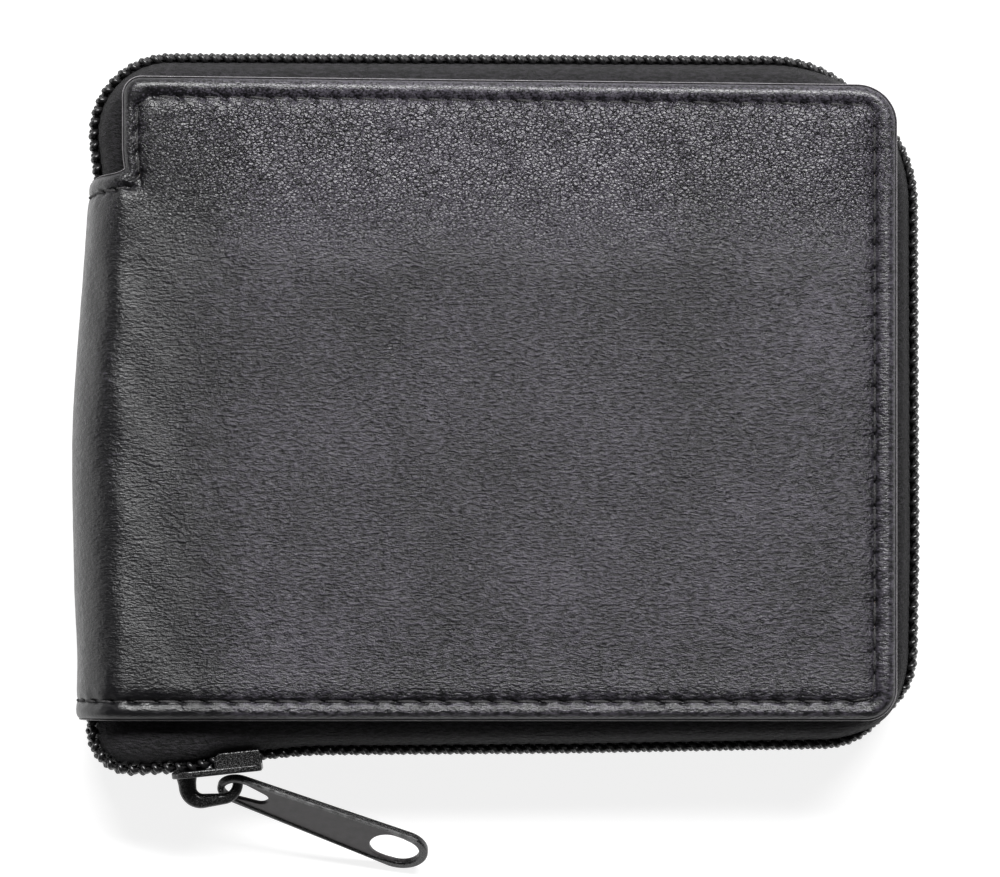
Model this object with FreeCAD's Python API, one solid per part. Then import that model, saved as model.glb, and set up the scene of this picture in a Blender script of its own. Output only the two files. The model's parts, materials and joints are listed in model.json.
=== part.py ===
# Zip-around bifold wallet, closed, lying on its back cover with the spine on the left.
#
# Frame: millimetres, +Z up. The origin is on the outer face of the back cover, at the middle of the
# leather's height. +X runs from the spine to the opening edge, +Y to the top edge of the wallet.
# The wallet is two like halves, front and back, mirrored about the plane of the zip. Each half is a leather
# cover over a board, with padding, lining, pockets, one zip tape and one coil. A spine joins the halves along
# two fold lines, and one slider with a pull tab runs on the coils.
import FreeCAD
import Part
import math
import os

V = FreeCAD.Vector

# Driving dimensions of the whole wallet
THICKNESS = 20.0            # outer face to outer face, zip closed
MID_Z = THICKNESS / 2       # plane of the zip
FOLD_X = -48.2              # fold lines between the covers and the spine
FOLD_GAP = 0.15             # from the fold plane to the solids on each side of it
EDGE_X = 53.5               # opening edge of the covers
HALF_HEIGHT = 42.2          # covers reach this far each way along Y
CORNER_R = 5.0              # outer corners of the covers

# Leather cover: a skin, turned over the board's edge and back in as a hem
SKIN = 1.2
HEM_TOP = 2.2               # depth at which the hem starts
HEM_DEPTH = 3.0             # depth of the hem's inner face
HEM_WIDTH = 7.0
EDGE_ROUND = 0.5            # the turned edge is rounded by this much
STITCH_INSET = 2.7
STITCH_PITCH = 2.9
STITCH_LENGTH = 2.35
THREAD_R = 0.2
GROOVE_WIDTH = 0.8
GROOVE_DEPTH = 0.45

# Layers inside each half, as depths from the outer face
BOARD = (SKIN, HEM_TOP)
BOARD_INSET = 1.4
TAPE_LAYER = (HEM_DEPTH, 3.5)
TAPE_SEWN = 5.5             # the sewn part of the tape reaches this far in from the cover's edge
PADDING = (HEM_TOP, 3.5)
PADDING_INSET = 7.6
LINING = (3.5, 3.9)
LINING_INSET = 0.8
LINING_CORNER_R = 14.0      # the lining and the divider keep inside the zip's wide corners
NOTE_GAP = 1.1
DIVIDER_SHEET = 0.6
DIVIDER = (LINING[1] + NOTE_GAP, LINING[1] + NOTE_GAP + DIVIDER_SHEET)
DIVIDER_INSET = 2.2
DIVIDER_SEAM = 1.5
POCKET_SHEET = 0.6
CARD_GAP = 0.12
POCKET_SEAM = 3.0
POCKET_LEFT = -44.0
POCKET_RIGHT = 48.5
POCKET_FOOT = -38.5
POCKET_MOUTHS = (28.0, 18.0, 8.0)   # Y of the mouths, deepest pocket first
WINDOW = (-34.0, -31.0, 34.0, 11.0)  # clear area of the identity window: x0, y0, x1, y1
WINDOW_LAP = 2.5
FILM = 0.3

# Zip: its line in plan, with the corner radii, from the top end by the spine round to the bottom end
ZIP_TOP = 44.8
ZIP_RIGHT = 55.65
ZIP_LEFT = -52.2
ZIP_TOP_END = 29.5
ZIP_BOTTOM_END = -42.4
RUN_POINT = (-33.9, -47.0)  # the bottom run passes through this point
RUN_SLOPE = math.radians(2.2)
ZIP_RADII = (8.8, 16.5, 17.0, 4.8)
TAPE_WALL = (-1.15, -0.7)   # inner and outer face of the tape, measured outwards from the zip line
COIL_WALL = (-0.7, 0.2)     # the same for the coil, which is sewn to the tape's outer face
COIL_BAND = (1.3, 3.4)      # how far the coil lies from the plane of the zip
STOP_LENGTH = 2.2
STOP_X = -45.2
STOP_BAND = (1.5, 3.3)

# Spine: an elliptical shell from one fold line to the other
SPINE_BULGE = 6.9
SPINE_T = 1.3
SPINE_TOP = 29.3
SPINE_LINING_T = 0.4
SPINE_LINING_GAP = 0.05

# Slider: local X along its length, local Y into the wallet, local Z across the zip
SLIDER_ANGLE = 5.8
PLATE_FRONT = -8.55
PLATE_REAR = 3.45
PLATE_T = 0.9
CHANNEL_OUT = 1.35          # outer plate's inner face, measured outwards from the zip line
CHANNEL_IN = 1.75           # inner plate's inner face, measured inwards
FRONT_HALF_WIDTH = 5.1
REAR_HALF_WIDTH = 4.5
LIP_T = 0.8
LIP_DEPTH = 0.8
LIP_START = -2.9
WEDGE_HALF_WIDTH = 1.05
WEDGE_LENGTH = 4.2
WEDGE_FRONT = -7.9
PLATE_ROUND = 0.25

# Bail: a hook on the outer plate that holds the pull tab
BAIL_ROOT = -6.7
BAIL_HEIGHT = 3.3
BAIL_ROOT_R = 1.7
BAIL_HOOK_R = 2.1
BAIL_END_X = 0.0
BAIL_END_GAP = 0.45
BAIL_HALF = (0.7, 0.5)      # half sizes of its section: in its own plane, and across it

# Pull tab: local X along its length, from the end at the bail
TAB_LENGTH = 30.4
TAB_T = 1.0
TAB_NEAR_R = 2.7
TAB_FAR_R = 3.8
TAB_NEAR_HOLE = (2.7, 1.75, 6.0, 1.15)    # x and radius of each end of the hole
TAB_FAR_HOLE = (25.0, 2.6, 26.6, 2.6)
TAB_RECESS = (10.0, 2.15, 19.6, 2.75)
TAB_RECESS_DEPTH = 0.2
TAB_ROUND = 0.28
TAB_HOLD = 2.6              # the bail's wire crosses the tab this far from its end
TAB_CROSSING = math.radians(-20.0)        # where on the hook's bend it crosses
TAB_HEADING = -21.0
TAB_SLOPE = 16.3
TAB_ROLL = 50.0


def unit(angle):
    return V(math.cos(angle), math.sin(angle), 0)


def rounded(points, radii, closed=False):
    """Edges of a line through the points, in order, with each corner rounded to a tangent arc."""
    count = len(points)
    corners = range(count) if closed else range(1, count - 1)
    starts, ends, arcs = {}, {}, {}
    for n, i in enumerate(corners):
        here = points[i]
        back = (points[i - 1] - here).normalize()
        ahead = (points[(i + 1) % count] - here).normalize()
        half = back.getAngle(ahead) / 2
        reach = radii[n] / math.tan(half)
        starts[i] = here + back * reach
        ends[i] = here + ahead * reach
        middle = (back + ahead).normalize()
        top = here + middle * (radii[n] / math.sin(half) - radii[n])
        arcs[i] = Part.Arc(starts[i], top, ends[i]).toShape()
    edges = []
    for i in range(count if closed else count - 1):
        after = (i + 1) % count
        edges.append(Part.LineSegment(ends.get(i, points[i]), starts.get(after, points[after])).toShape())
        if after in arcs:
            edges.append(arcs[after])
    return edges


def face_of(edges):
    return Part.Face(Part.Wire(Part.__sortEdges__(edges)))


def slab(face, low, high):
    """The solid between two heights with this outline."""
    solid = face.extrude(V(0, 0, high - low))
    solid.translate(V(0, 0, low))
    return solid


def box(x0, y0, z0, x1, y1, z1):
    return Part.makeBox(x1 - x0, y1 - y0, z1 - z0, V(x0, y0, z0))


def to_back(shape):
    """The same piece on the back half."""
    return shape.mirror(V(0, 0, MID_Z), V(0, 0, 1))


def layer(face, depths):
    """A sheet of the front half between two depths below its outer face."""
    return slab(face, THICKNESS - depths[1], THICKNESS - depths[0])


def panel(inset, left, radius=None):
    """Outline of a sheet that follows the cover's edge at an inset. Its left side is straight."""
    right = EDGE_X - inset
    top = HALF_HEIGHT - inset
    radius = radius or max(CORNER_R - inset, 1.0)
    corner = [V(left, top, 0), V(right, top, 0), V(right, -top, 0), V(left, -top, 0)]
    small = 0.4
    return face_of(rounded(corner, [small, radius, radius, small], closed=True))


# ---------------------------------------------------------------- covers

def cover():
    """Leather skin of the front half, with its turned edge, hem and stitch groove."""
    left = FOLD_X + FOLD_GAP
    outer = layer(panel(0, left), (0, HEM_DEPTH))
    rim = [e for e in outer.Edges if abs(e.BoundBox.ZMin - THICKNESS) < 1e-6
           and e.BoundBox.XMax > left + 1 and e.BoundBox.ZMax > THICKNESS - 1e-6]
    outer = outer.makeFillet(EDGE_ROUND, rim)
    beyond = left - 1
    board_space = layer(panel(BOARD_INSET - 0.1, beyond), BOARD)
    middle = layer(panel(HEM_WIDTH, beyond), (HEM_TOP - 0.1, HEM_DEPTH + 1))
    return outer.cut(board_space).cut(middle).cut(stitch_groove())


def stitch_line(reach):
    """Edges of the line that the stitches follow, moved outwards by reach, open at the fold."""
    inset = STITCH_INSET - reach
    left = FOLD_X + FOLD_GAP
    top = HALF_HEIGHT - inset
    right = EDGE_X - inset
    radius = CORNER_R - inset
    points = [V(left, top, 0), V(right, top, 0), V(right, -top, 0), V(left, -top, 0)]
    return rounded(points, [radius, radius])


def stitch_groove():
    half = GROOVE_WIDTH / 2
    outside = stitch_line(half)
    inside = stitch_line(-half)
    caps = [Part.LineSegment(outside[i].Vertexes[j].Point, inside[i].Vertexes[j].Point).toShape()
            for i, j in ((0, 0), (-1, -1))]
    return layer(face_of(outside + inside + caps), (-1, GROOVE_DEPTH))


def stitching():
    """One short rod of thread for each stitch, lying in the groove."""
    depth = THICKNESS - GROOVE_DEPTH + THREAD_R + 0.02
    rods = []
    for edge in stitch_line(0):
        count = int(edge.Length // STITCH_PITCH)
        for i in range(count):
            at = edge.getParameterByLength(edge.Length * (i + 0.5) / count)
            middle = edge.valueAt(at)
            along = edge.tangentAt(at)
            start = middle - along * (STITCH_LENGTH / 2) + V(0, 0, depth)
            rods.append(Part.makeCylinder(THREAD_R, STITCH_LENGTH, start, along))
    return Part.makeCompound(rods)


def board():
    return layer(panel(BOARD_INSET, FOLD_X + FOLD_GAP + 0.6), BOARD)


def padding():
    return layer(panel(PADDING_INSET, FOLD_X + FOLD_GAP + 1.5), PADDING)


def lining():
    return layer(panel(LINING_INSET, FOLD_X + FOLD_GAP + 0.6, LINING_CORNER_R), LINING)


# ---------------------------------------------------------------- pockets

def bill_divider():
    """Sheet that closes the note compartment. It is sewn down at its right and bottom edges."""
    left = FOLD_X + FOLD_GAP + 1.0
    radius = LINING_CORNER_R
    whole = layer(panel(DIVIDER_INSET, left, radius), (LINING[1], DIVIDER[1]))
    inside = panel(DIVIDER_INSET + DIVIDER_SEAM, left - 5, radius - DIVIDER_SEAM)
    hollow = layer(inside, (LINING[1] - 1, DIVIDER[0]))
    mouth = box(left - 1, 0, THICKNESS - DIVIDER[0], EDGE_X - DIVIDER_INSET - DIVIDER_SEAM,
                HALF_HEIGHT, THICKNESS - LINING[1] + 1)
    return whole.cut(hollow).cut(mouth)


def card_pocket(level, mouth, sheet=POCKET_SHEET):
    """A sheet sewn down on three sides over a flat space for a card, open towards +Y."""
    top = THICKNESS - DIVIDER[1] - level * POCKET_SHEET
    whole = box(POCKET_LEFT, POCKET_FOOT, top - sheet, POCKET_RIGHT, mouth, top)
    space = box(POCKET_LEFT + POCKET_SEAM, POCKET_FOOT + POCKET_SEAM, top - CARD_GAP,
                POCKET_RIGHT - POCKET_SEAM, mouth + 1, top + 1)
    return whole.cut(space)


def window_frame():
    """The frame of the identity window, as a pocket whose sheet is cut out."""
    x0, y0, x1, y1 = WINDOW
    top = THICKNESS - DIVIDER[1]
    pocket = card_pocket(0, POCKET_MOUTHS[0] - 6.0, POCKET_SHEET + FILM + CARD_GAP)
    hole = box(x0, y0, top - 3, x1, y1, top + 1)
    lap = WINDOW_LAP
    seat = box(x0 - lap, y0 - lap, top - CARD_GAP - FILM, x1 + lap, y1 + lap, top + 1)
    return pocket.cut(hole).cut(seat)


def window_film():
    x0, y0, x1, y1 = WINDOW
    lap = WINDOW_LAP - 0.05
    top = THICKNESS - DIVIDER[1] - CARD_GAP
    return box(x0 - lap, y0 - lap, top - FILM, x1 + lap, y1 + lap, top)


# ---------------------------------------------------------------- zip

def zip_corners(reach):
    """Corner points and radii of the zip's line in plan, moved outwards by reach."""
    slope = math.tan(RUN_SLOPE)
    drop = reach / math.cos(RUN_SLOPE)

    def run_y(x):
        return RUN_POINT[1] + (x - RUN_POINT[0]) * slope - drop

    left = ZIP_LEFT - reach
    right = ZIP_RIGHT + reach
    top = ZIP_TOP + reach
    points = [V(left, ZIP_TOP_END, 0), V(left, top, 0), V(right, top, 0),
              V(right, run_y(right), 0), V(left, run_y(left), 0), V(left, ZIP_BOTTOM_END, 0)]
    return points, [r + reach for r in ZIP_RADII]


def zip_band(inner, outer):
    """Face of a strip that follows the zip's line between two distances outwards from it."""
    first = rounded(*zip_corners(inner))
    second = rounded(*zip_corners(outer))
    caps = [Part.LineSegment(zip_corners(inner)[0][i], zip_corners(outer)[0][i]).toShape() for i in (0, -1)]
    return face_of(first + second + caps)


def zip_tape(side):
    """Tape of the front half: a sewn part under the hem, and a wall down to the coil."""
    points, radii = zip_corners(TAPE_WALL[1])
    inside = face_of(rounded(points, radii) + [Part.LineSegment(points[-1], points[0]).toShape()])
    sewn = layer(inside.cut(panel(TAPE_SEWN, ZIP_LEFT - 10)), TAPE_LAYER)
    wall = slab(zip_band(*TAPE_WALL), MID_Z + COIL_BAND[0], THICKNESS - TAPE_LAYER[1])
    return sewn.common(side).fuse(wall.common(side)).removeSplitter()


def zip_coil(side):
    return slab(zip_band(*COIL_WALL), MID_Z + COIL_BAND[0], MID_Z + COIL_BAND[1]).common(side)


def cover_side():
    """The space on the covers' side of the fold lines."""
    return box(FOLD_X + FOLD_GAP, -100, -50, 100, 100, 100)


def spine_side():
    """The space on the spine's side of the fold lines, above and below the spine's leather."""
    edge = FOLD_X - FOLD_GAP
    above = box(-100, SPINE_TOP + 0.1, -50, edge, 100, 100)
    below = box(-100, -100, -50, edge, -HALF_HEIGHT - 0.1, 100)
    return Part.makeCompound([above, below])


def zip_stop():
    """Metal stop clamped on the coil at the closed end, between the slider and the spine."""
    y = RUN_POINT[1] + (STOP_X - RUN_POINT[0]) * math.tan(RUN_SLOPE)
    clear = 0.02
    outward = COIL_WALL[1] + clear
    stop = box(-STOP_LENGTH / 2, -outward - 0.7, MID_Z + STOP_BAND[0],
               STOP_LENGTH / 2, -outward, MID_Z + STOP_BAND[1])
    stop = stop.makeFillet(0.2, [e for e in stop.Edges if abs(e.BoundBox.YMin - e.BoundBox.YMax) < 1e-6
                                 and e.BoundBox.YMax < -outward - 0.5])
    stop.rotate(V(0, 0, 0), V(0, 0, 1), math.degrees(RUN_SLOPE))
    stop.translate(V(STOP_X, y, 0))
    return stop


# ---------------------------------------------------------------- spine

def shell_section(outer_reach, inner_reach, outer_half, inner_half):
    """Half-elliptical strip in the XZ plane, from the upper fold line to the lower."""
    edge_x = FOLD_X - FOLD_GAP

    def curve(reach, half):
        top, bottom = V(edge_x, 0, MID_Z + half), V(edge_x, 0, MID_Z - half)
        ellipse = Part.Ellipse(top, V(edge_x - reach, 0, MID_Z), V(edge_x, 0, MID_Z))
        low, high = sorted((ellipse.parameter(top), ellipse.parameter(bottom)))
        arc = Part.ArcOfEllipse(ellipse, low, high).toShape()
        if arc.BoundBox.XMax > edge_x + 0.1:
            arc = Part.ArcOfEllipse(ellipse, high, low + 2 * math.pi).toShape()
        return arc, top, bottom

    outer, outer_top, outer_bottom = curve(outer_reach, outer_half)
    inner, inner_top, inner_bottom = curve(inner_reach, inner_half)
    return face_of([outer, inner, Part.LineSegment(outer_top, inner_top).toShape(),
                    Part.LineSegment(outer_bottom, inner_bottom).toShape()])


def spine_shell(depth, thickness, low, high):
    section = shell_section(SPINE_BULGE - depth, SPINE_BULGE - depth - thickness,
                            MID_Z - depth, MID_Z - depth - thickness)
    solid = section.extrude(V(0, high - low, 0))
    solid.translate(V(0, low, 0))
    return solid


def spine_leather():
    return spine_shell(0, SPINE_T, -HALF_HEIGHT, SPINE_TOP)


def spine_lining():
    return spine_shell(SPINE_T + SPINE_LINING_GAP, SPINE_LINING_T, -HALF_HEIGHT + 1.5, SPINE_TOP - 1.5)


# ---------------------------------------------------------------- slider

def place_slider(shape):
    """From the slider's own frame to the wallet's."""
    shape.rotate(V(0, 0, 0), V(0, 0, 1), SLIDER_ANGLE)
    shape.translate(V(RUN_POINT[0], RUN_POINT[1], MID_Z))
    return shape


def plate(low_y, high_y):
    """A plate that is wide at the front, where the two coils part, and narrow at the rear."""
    shoulder = PLATE_FRONT + 5.0
    points = [V(PLATE_FRONT, low_y, -FRONT_HALF_WIDTH), V(shoulder, low_y, -FRONT_HALF_WIDTH),
              V(LIP_START + 1.5, low_y, -REAR_HALF_WIDTH), V(PLATE_REAR, low_y, -REAR_HALF_WIDTH),
              V(PLATE_REAR, low_y, REAR_HALF_WIDTH), V(LIP_START + 1.5, low_y, REAR_HALF_WIDTH),
              V(shoulder, low_y, FRONT_HALF_WIDTH), V(PLATE_FRONT, low_y, FRONT_HALF_WIDTH)]
    radii = [2.4, 2.0, 2.0, 0.8, 0.8, 2.0, 2.0, 2.4]
    return face_of(rounded(points, radii, closed=True)).extrude(V(0, high_y - low_y, 0))


def lip(side):
    """Flange of the outer plate that keeps the coil in the channel."""
    low = -CHANNEL_OUT - PLATE_T / 2
    near = side * (REAR_HALF_WIDTH - LIP_T)
    far = side * REAR_HALF_WIDTH
    bar = box(LIP_START + 1.5, low, min(near, far), PLATE_REAR, -CHANNEL_OUT + LIP_DEPTH, max(near, far))
    corner = [e for e in bar.Edges if e.BoundBox.ZLength > LIP_T / 2 and e.BoundBox.YMin > -CHANNEL_OUT]
    return bar.makeFillet(0.55, corner)


def wedge():
    """Post that joins the two plates and parts the coils."""
    tip = WEDGE_FRONT
    tail = WEDGE_FRONT + WEDGE_LENGTH
    wide = WEDGE_FRONT + 1.3
    low = -CHANNEL_OUT - PLATE_T / 2
    high = CHANNEL_IN + PLATE_T / 2
    points = [V(tip, low, 0), V(wide, low, -WEDGE_HALF_WIDTH), V(tail, low, 0), V(wide, low, WEDGE_HALF_WIDTH)]
    return face_of(rounded(points, [0.3, 0.5, 0.25, 0.5], closed=True)).extrude(V(0, high - low, 0))


def bail_path():
    """Edges of the hook's centre line, in the slider's own frame."""
    surface = -CHANNEL_OUT - PLATE_T
    run = surface - BAIL_HEIGHT
    inside = surface + PLATE_T / 2
    points = [V(BAIL_ROOT, inside, 0), V(BAIL_ROOT, run, 0), V(BAIL_END_X, run, 0),
              V(BAIL_END_X, surface - BAIL_END_GAP, 0)]
    return rounded(points, [BAIL_ROOT_R, BAIL_HOOK_R])


def hook_centre():
    """Centre of the hook's free bend, in the slider's own frame."""
    return V(BAIL_END_X - BAIL_HOOK_R, -CHANNEL_OUT - PLATE_T - BAIL_HEIGHT + BAIL_HOOK_R, 0)


def bail():
    flat, across = BAIL_HALF
    start = bail_path()[0].Vertexes[0].Point
    ring = Part.Ellipse(start + V(flat, 0, 0), start + V(0, 0, across), start).toShape()
    return Part.Wire(bail_path()).makePipeShell([Part.Wire([ring])], True, False)


def slider_body():
    outer = plate(-CHANNEL_OUT - PLATE_T, -CHANNEL_OUT)
    inner = plate(CHANNEL_IN, CHANNEL_IN + PLATE_T)

    def softened(shape, y):
        edges = [e for e in shape.Edges if abs(e.BoundBox.YMin - y) < 1e-6 and abs(e.BoundBox.YMax - y) < 1e-6]
        return shape.makeFillet(PLATE_ROUND, edges)

    outer = softened(outer, -CHANNEL_OUT - PLATE_T)
    inner = softened(inner, CHANNEL_IN + PLATE_T)
    body = outer.fuse([inner, lip(1), lip(-1), wedge(), bail()]).removeSplitter()
    return place_slider(body)


# ---------------------------------------------------------------- pull tab

def tapered_slot(x1, r1, x2, r2):
    """Outline of two circles on the X axis and their common tangents."""
    lean = math.asin((r2 - r1) / (x2 - x1))

    def at(x, r, angle):
        return V(x + r * math.cos(angle), r * math.sin(angle), 0)

    up = math.pi / 2 + lean
    near = Part.Arc(at(x1, r1, up), at(x1, r1, math.pi), at(x1, r1, -up)).toShape()
    far = Part.Arc(at(x2, r2, up), at(x2, r2, 0), at(x2, r2, -up)).toShape()
    sides = [Part.LineSegment(at(x1, r1, s * up), at(x2, r2, s * up)).toShape() for s in (1, -1)]
    return face_of([near, far] + sides)


def pull_tab():
    half = TAB_T / 2
    outline = tapered_slot(TAB_NEAR_R, TAB_NEAR_R, TAB_LENGTH - TAB_FAR_R, TAB_FAR_R)
    tab = slab(outline, -half, half)
    for hole in (TAB_NEAR_HOLE, TAB_FAR_HOLE):
        tab = tab.cut(slab(tapered_slot(*hole), -half - 1, half + 1))
    rims = [e for e in tab.Edges if e.BoundBox.ZLength < 1e-6]
    tab = tab.makeFillet(TAB_ROUND, rims)
    for low in (half - TAB_RECESS_DEPTH, -half - 1 + TAB_RECESS_DEPTH):
        tab = tab.cut(slab(tapered_slot(*TAB_RECESS), low, low + 1))
    tab.translate(V(-TAB_HOLD, 0, 0))
    tab.rotate(V(0, 0, 0), V(1, 0, 0), TAB_ROLL)
    tab.rotate(V(0, 0, 0), V(0, 1, 0), TAB_SLOPE)
    tab.rotate(V(0, 0, 0), V(0, 0, 1), TAB_HEADING)
    tab.translate(swing_axis() + unit(TAB_CROSSING) * BAIL_HOOK_R)
    return tab


def swing_axis():
    """A point on the vertical axis that the pull tab swings about."""
    point = FreeCAD.Rotation(V(0, 0, 1), SLIDER_ANGLE).multVec(hook_centre())
    return point + V(RUN_POINT[0], RUN_POINT[1], MID_Z)


# ---------------------------------------------------------------- the wallet

def front_half():
    pieces = {
        "cover": cover(),
        "cover_stitching": stitching(),
        "cover_board": board(),
        "cover_padding": padding(),
        "lining": lining(),
        "bill_divider": bill_divider(),
        "zip_tape": zip_tape(cover_side()),
        "zip_coil": zip_coil(cover_side()),
        "zip_stop": zip_stop(),
    }
    return pieces


def wallet():
    """Every piece by its node name."""
    pieces = {}
    for name, shape in front_half().items():
        pieces["front_" + name] = shape
        pieces["back_" + name] = to_back(shape)
    for level, (name, mouth) in enumerate(zip(("upper", "middle", "lower"), POCKET_MOUTHS)):
        pieces["front_card_pocket_" + name] = card_pocket(level, mouth)
    pieces["back_window_frame"] = to_back(window_frame())
    pieces["back_window_film"] = to_back(window_film())
    tape_ends = zip_tape(spine_side())
    coil_ends = zip_coil(spine_side())
    pieces["spine_zip_tape_ends"] = Part.makeCompound([tape_ends, to_back(tape_ends)])
    pieces["spine_zip_coil_ends"] = Part.makeCompound([coil_ends, to_back(coil_ends)])
    pieces["spine_leather"] = spine_leather()
    pieces["spine_lining"] = spine_lining()
    pieces["slider_body"] = slider_body()
    pieces["pull_tab"] = pull_tab()
    return pieces


def main():
    os.makedirs("parts", exist_ok=True)
    for name, shape in wallet().items():
        shape.exportStep("parts/" + name + ".step")


main()
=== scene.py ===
import json
import math

import bmesh
import bpy
import numpy as np
from mathutils import Matrix, Vector


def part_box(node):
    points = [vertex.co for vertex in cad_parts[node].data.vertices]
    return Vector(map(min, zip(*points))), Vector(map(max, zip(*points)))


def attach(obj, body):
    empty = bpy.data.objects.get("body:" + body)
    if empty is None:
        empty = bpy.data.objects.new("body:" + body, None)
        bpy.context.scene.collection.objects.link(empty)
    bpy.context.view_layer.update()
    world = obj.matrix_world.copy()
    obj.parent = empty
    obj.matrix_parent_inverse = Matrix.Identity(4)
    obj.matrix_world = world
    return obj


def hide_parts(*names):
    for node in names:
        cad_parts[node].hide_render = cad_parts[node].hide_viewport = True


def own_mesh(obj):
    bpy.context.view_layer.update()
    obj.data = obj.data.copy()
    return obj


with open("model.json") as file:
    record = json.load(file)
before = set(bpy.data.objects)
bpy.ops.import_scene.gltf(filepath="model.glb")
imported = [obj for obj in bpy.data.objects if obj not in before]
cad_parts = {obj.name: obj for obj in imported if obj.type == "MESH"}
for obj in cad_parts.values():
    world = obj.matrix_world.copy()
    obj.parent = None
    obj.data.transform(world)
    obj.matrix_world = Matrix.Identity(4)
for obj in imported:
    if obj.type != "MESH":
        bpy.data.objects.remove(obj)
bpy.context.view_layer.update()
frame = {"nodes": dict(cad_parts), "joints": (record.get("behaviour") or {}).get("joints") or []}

# Lengths are in millimetres, except in the stage, the lights and the camera.
MM = 0.001


def node_box(name):
    return [np.array(corner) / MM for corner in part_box(name)]


cover_low, cover_high = node_box("front_cover")
spine_low, spine_high = node_box("spine_leather")
THICKNESS = cover_high[2]
MID_Z = THICKNESS / 2
FOLD_X = cover_low[0] - 0.15
EDGE_X = cover_high[0]
HALF = cover_high[1]
NOTCH_Y = spine_high[1] + 0.8
BULGE = FOLD_X - spine_low[0]
# The zip's line starts from lines this far inside the boxes of the CAD coils.
ZIP_INSET = 0.2
ZIP_TOP = node_box("front_zip_coil")[1][1] - ZIP_INSET
ZIP_RIGHT = node_box("front_zip_coil")[1][0] - ZIP_INSET
ZIP_LEFT = node_box("spine_zip_coil_ends")[0][0] + ZIP_INSET
ZIP_FOOT = -HALF - 3.0


# ---- mesh helpers

def linked(name, data):
    """A new object in the scene."""
    made = bpy.data.objects.new(name, data)
    bpy.context.scene.collection.objects.link(made)
    return made


def quads(rows, columns, closed=False, flip=False):
    """Faces of a grid of points, listed row by row."""
    i = np.arange(rows - 1)[:, None]
    j = np.arange(columns if closed else columns - 1)[None, :]
    a = i * columns + j
    b = i * columns + (j + 1) % columns
    faces = np.stack([a, b, b + columns, a + columns], -1).reshape(-1, 4)
    return faces[:, ::-1] if flip else faces


class Pile:
    """Points and faces that end up in one mesh."""

    def __init__(self):
        self.points, self.faces, self.slots, self.count = [], [], [], 0

    def add(self, points, faces, slot=0):
        points = np.asarray(points, float).reshape(-1, 3)
        faces = faces.tolist() if hasattr(faces, "tolist") else faces
        self.points.append(points)
        self.faces += [[i + self.count for i in face] for face in faces]
        self.slots.append(np.broadcast_to(slot, len(faces)))
        self.count += len(points)

    def make(self, name, materials, merge=0.0, outward=False):
        mesh = bpy.data.meshes.new(name)
        mesh.from_pydata((np.concatenate(self.points) * MM).tolist(), [], self.faces)
        mesh.polygons.foreach_set("material_index", np.concatenate(self.slots).astype(np.int32))
        for material in materials:
            mesh.materials.append(material)
        bm = bmesh.new()
        bm.from_mesh(mesh)
        bmesh.ops.delete(bm, geom=[v for v in bm.verts if not v.link_faces], context="VERTS")
        if merge:
            bmesh.ops.remove_doubles(bm, verts=bm.verts, dist=merge * MM)
        if outward:
            bmesh.ops.recalc_face_normals(bm, faces=bm.faces)
        bm.to_mesh(mesh)
        bm.free()
        mesh.shade_smooth()
        return linked(name, mesh)


def rounded(corners, closed=False, steps=14):
    """Points along straight runs with rounded corners. Each corner is (x, y, radius)."""
    corners = [np.array(c, float) for c in corners]
    points = [] if closed else [corners[0][:2]]
    count = len(corners)
    for k in range(count) if closed else range(1, count - 1):
        before, here, after = corners[k - 1][:2], corners[k][:2], corners[(k + 1) % count][:2]
        back, ahead = before - here, after - here
        back /= np.linalg.norm(back)
        ahead /= np.linalg.norm(ahead)
        half = math.acos(np.clip(back @ ahead, -1, 1)) / 2
        radius = corners[k][2]
        reach = radius / math.tan(half)
        middle = here + (back + ahead) / np.linalg.norm(back + ahead) * radius / math.sin(half)
        first, last = here + back * reach - middle, here + ahead * reach - middle
        a0 = math.atan2(first[1], first[0])
        sweep = (math.atan2(last[1], last[0]) - a0 + math.pi) % (2 * math.pi) - math.pi
        points += [middle + radius * np.array([math.cos(a0 + sweep * t), math.sin(a0 + sweep * t)])
                   for t in np.linspace(0, 1, steps)]
    if not closed:
        points.append(corners[-1][:2])
    return np.array(points)


def hull(circles, steps=72):
    """Outline of a band stretched round circles on the X axis. Each circle is (x, radius)."""
    turn = np.linspace(0, 2 * np.pi, steps, endpoint=False)
    spots = sorted((x + r * math.cos(a), r * math.sin(a)) for x, r in circles for a in turn)

    def half_hull(ordered):
        kept = []
        for p in ordered:
            while len(kept) > 1 and ((kept[-1][0] - kept[-2][0]) * (p[1] - kept[-2][1])
                                     - (kept[-1][1] - kept[-2][1]) * (p[0] - kept[-2][0])) <= 0:
                kept.pop()
            kept.append(p)
        return kept

    return np.array(half_hull(spots)[:-1] + half_hull(spots[::-1])[:-1])


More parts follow.
